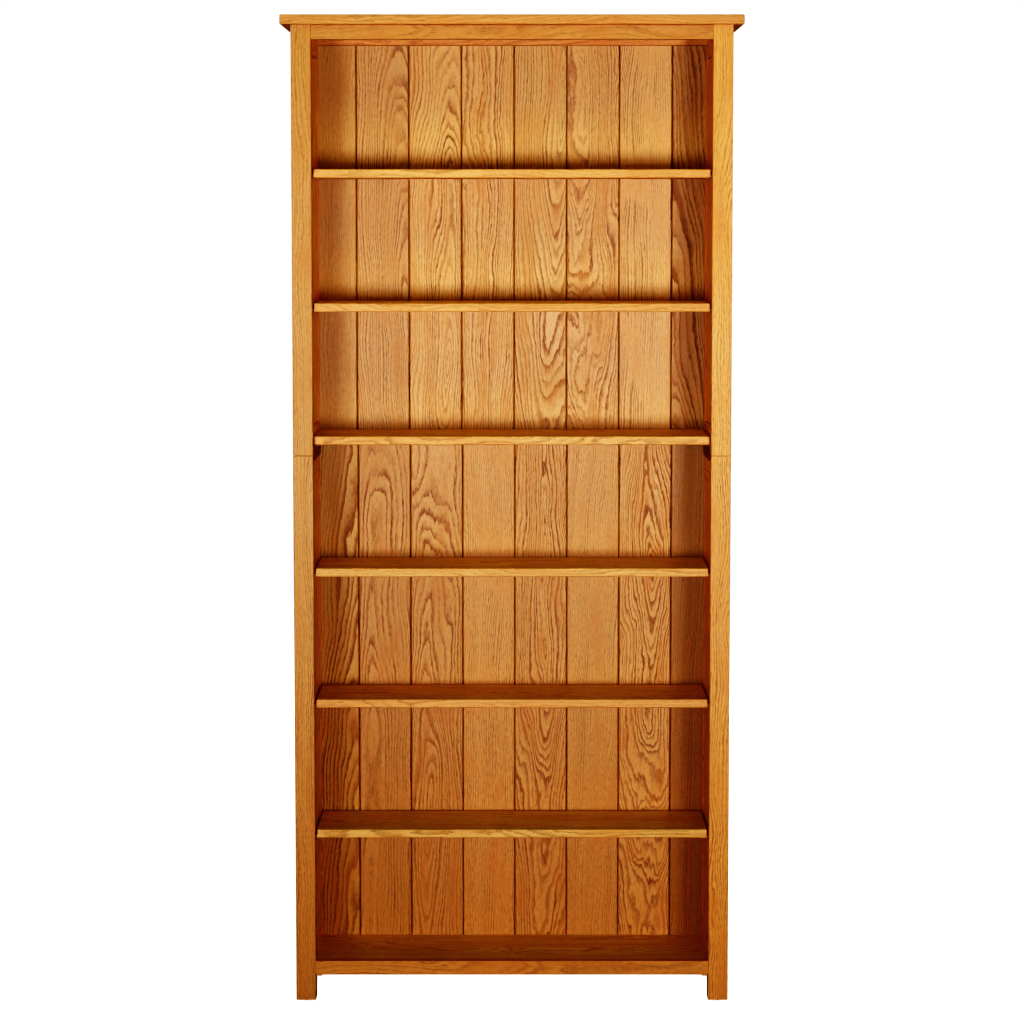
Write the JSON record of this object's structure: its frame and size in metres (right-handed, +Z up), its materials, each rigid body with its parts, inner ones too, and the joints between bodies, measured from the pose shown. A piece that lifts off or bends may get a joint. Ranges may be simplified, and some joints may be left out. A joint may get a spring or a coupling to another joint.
{
  "type": "bookcase",
  "caption": "Tall narrow oak bookcase in two stacked halves, with a fixed middle shelf, adjustable shelves on pull-out pins and a tongued and grooved board back.",
  "frame": {"origin": "on the floor under the middle of the top board's outline", "axes": "+Z up, the open front faces -Y, +X to the right as seen from the front"},
  "size_m": [0.8, 0.225, 1.732],
  "materials": {
    "oak": "satin oiled honey oak",
    "oak_shelf": "satin oiled honey oak",
    "oak_back": "satin oiled honey oak",
    "brown_steel": "dark brown lacquer on steel",
    "beech_dowel": "raw",
    "pin_steel": "nickel plated",
    "screw_steel": "yellow passivated",
    "zinc": "zinc die-cast",
    "black_plastic": "matt"
  },
  "bodies": {
    "carcass": {"top_board": "oak", "top_front_rail": "oak", "top_rear_rail": "oak", "bottom_front_rail": "oak", "bottom_board": "oak", "middle_shelf": "oak", "upper_left_front_post": "oak", "upper_left_rear_post": "oak", "upper_right_front_post": "oak", "upper_right_rear_post": "oak", "lower_left_front_post": "oak", "lower_left_rear_post": "oak", "lower_right_front_post": "oak", "lower_right_rear_post": "oak", "upper_left_side_rails": "oak", "upper_right_side_rails": "oak", "lower_left_side_rails": "oak", "lower_right_side_rails": "oak", "upper_left_side_panel": "oak", "upper_right_side_panel": "oak", "lower_left_side_panel": "oak", "lower_right_side_panel": "oak", "upper_back_board_1": "oak_back", "upper_back_board_2": "oak_back", "upper_back_board_3": "oak_back", "upper_back_board_4": "oak_back", "upper_back_board_5": "oak_back", "upper_back_board_6": "oak_back", "upper_back_board_7": "oak_back", "upper_back_board_8": "oak_back", "lower_back_board_1": "oak_back", "lower_back_board_2": "oak_back", "lower_back_board_3": "oak_back", "lower_back_board_4": "oak_back", "lower_back_board_5": "oak_back", "lower_back_board_6": "oak_back", "lower_back_board_7": "oak_back", "lower_back_board_8": "oak_back", "joining_angles": "brown_steel", "joint_dowels": "beech_dowel", "cam_fittings": "zinc", "angle_screws": "screw_steel", "top_screws": "screw_steel", "back_screws": "screw_steel", "glides": "black_plastic"},
    "adjustable_shelf_1": {"adjustable_shelf_1": "oak_shelf"},
    "shelf_pins_1_left": {"shelf_pins_1_left": "pin_steel"},
    "shelf_pins_1_right": {"shelf_pins_1_right": "pin_steel"},
    "adjustable_shelf_2": {"adjustable_shelf_2": "oak_shelf"},
    "shelf_pins_2_left": {"shelf_pins_2_left": "pin_steel"},
    "shelf_pins_2_right": {"shelf_pins_2_right": "pin_steel"},
    "adjustable_shelf_3": {"adjustable_shelf_3": "oak_shelf"},
    "shelf_pins_3_left": {"shelf_pins_3_left": "pin_steel"},
    "shelf_pins_3_right": {"shelf_pins_3_right": "pin_steel"},
    "adjustable_shelf_4": {"adjustable_shelf_4": "oak_shelf"},
    "shelf_pins_4_left": {"shelf_pins_4_left": "pin_steel"},
    "shelf_pins_4_right": {"shelf_pins_4_right": "pin_steel"},
    "adjustable_shelf_5": {"adjustable_shelf_5": "oak_shelf"},
    "shelf_pins_5_left": {"shelf_pins_5_left": "pin_steel"},
    "shelf_pins_5_right": {"shelf_pins_5_right": "pin_steel"}
  },
  "joints": [
    {"name": "shelf_1_lift", "type": "slide", "parent": "carcass", "child": "adjustable_shelf_1", "axis": [0, 0, 1], "range_m": [0, 0.064]},
    {"name": "pins_1_left_pull", "type": "slide", "parent": "carcass", "child": "shelf_pins_1_left", "axis": [1, 0, 0], "range_m": [0, 0.011]},
    {"name": "pins_1_right_pull", "type": "slide", "parent": "carcass", "child": "shelf_pins_1_right", "axis": [-1, 0, 0], "range_m": [0, 0.011]},
    {"name": "shelf_2_lift", "type": "slide", "parent": "carcass", "child": "adjustable_shelf_2", "axis": [0, 0, 1], "range_m": [0, 0.064]},
    {"name": "pins_2_left_pull", "type": "slide", "parent": "carcass", "child": "shelf_pins_2_left", "axis": [1, 0, 0], "range_m": [0, 0.011]},
    {"name": "pins_2_right_pull", "type": "slide", "parent": "carcass", "child": "shelf_pins_2_right", "axis": [-1, 0, 0], "range_m": [0, 0.011]},
    {"name": "shelf_3_lift", "type": "slide", "parent": "carcass", "child": "adjustable_shelf_3", "axis": [0, 0, 1], "range_m": [0, 0.064]},
    {"name": "pins_3_left_pull", "type": "slide", "parent": "carcass", "child": "shelf_pins_3_left", "axis": [1, 0, 0], "range_m": [0, 0.011]},
    {"name": "pins_3_right_pull", "type": "slide", "parent": "carcass", "child": "shelf_pins_3_right", "axis": [-1, 0, 0], "range_m": [0, 0.011]},
    {"name": "shelf_4_lift", "type": "slide", "parent": "carcass", "child": "adjustable_shelf_4", "axis": [0, 0, 1], "range_m": [0, 0.064]},
    {"name": "pins_4_left_pull", "type": "slide", "parent": "carcass", "child": "shelf_pins_4_left", "axis": [1, 0, 0], "range_m": [0, 0.011]},
    {"name": "pins_4_right_pull", "type": "slide", "parent": "carcass", "child": "shelf_pins_4_right", "axis": [-1, 0, 0], "range_m": [0, 0.011]},
    {"name": "shelf_5_lift", "type": "slide", "parent": "carcass", "child": "adjustable_shelf_5", "axis": [0, 0, 1], "range_m": [0, 0.064]},
    {"name": "pins_5_left_pull", "type": "slide", "parent": "carcass", "child": "shelf_pins_5_left", "axis": [1, 0, 0], "range_m": [0, 0.011]},
    {"name": "pins_5_right_pull", "type": "slide", "parent": "carcass", "child": "shelf_pins_5_right", "axis": [-1, 0, 0], "range_m": [0, 0.011]}
  ]
}
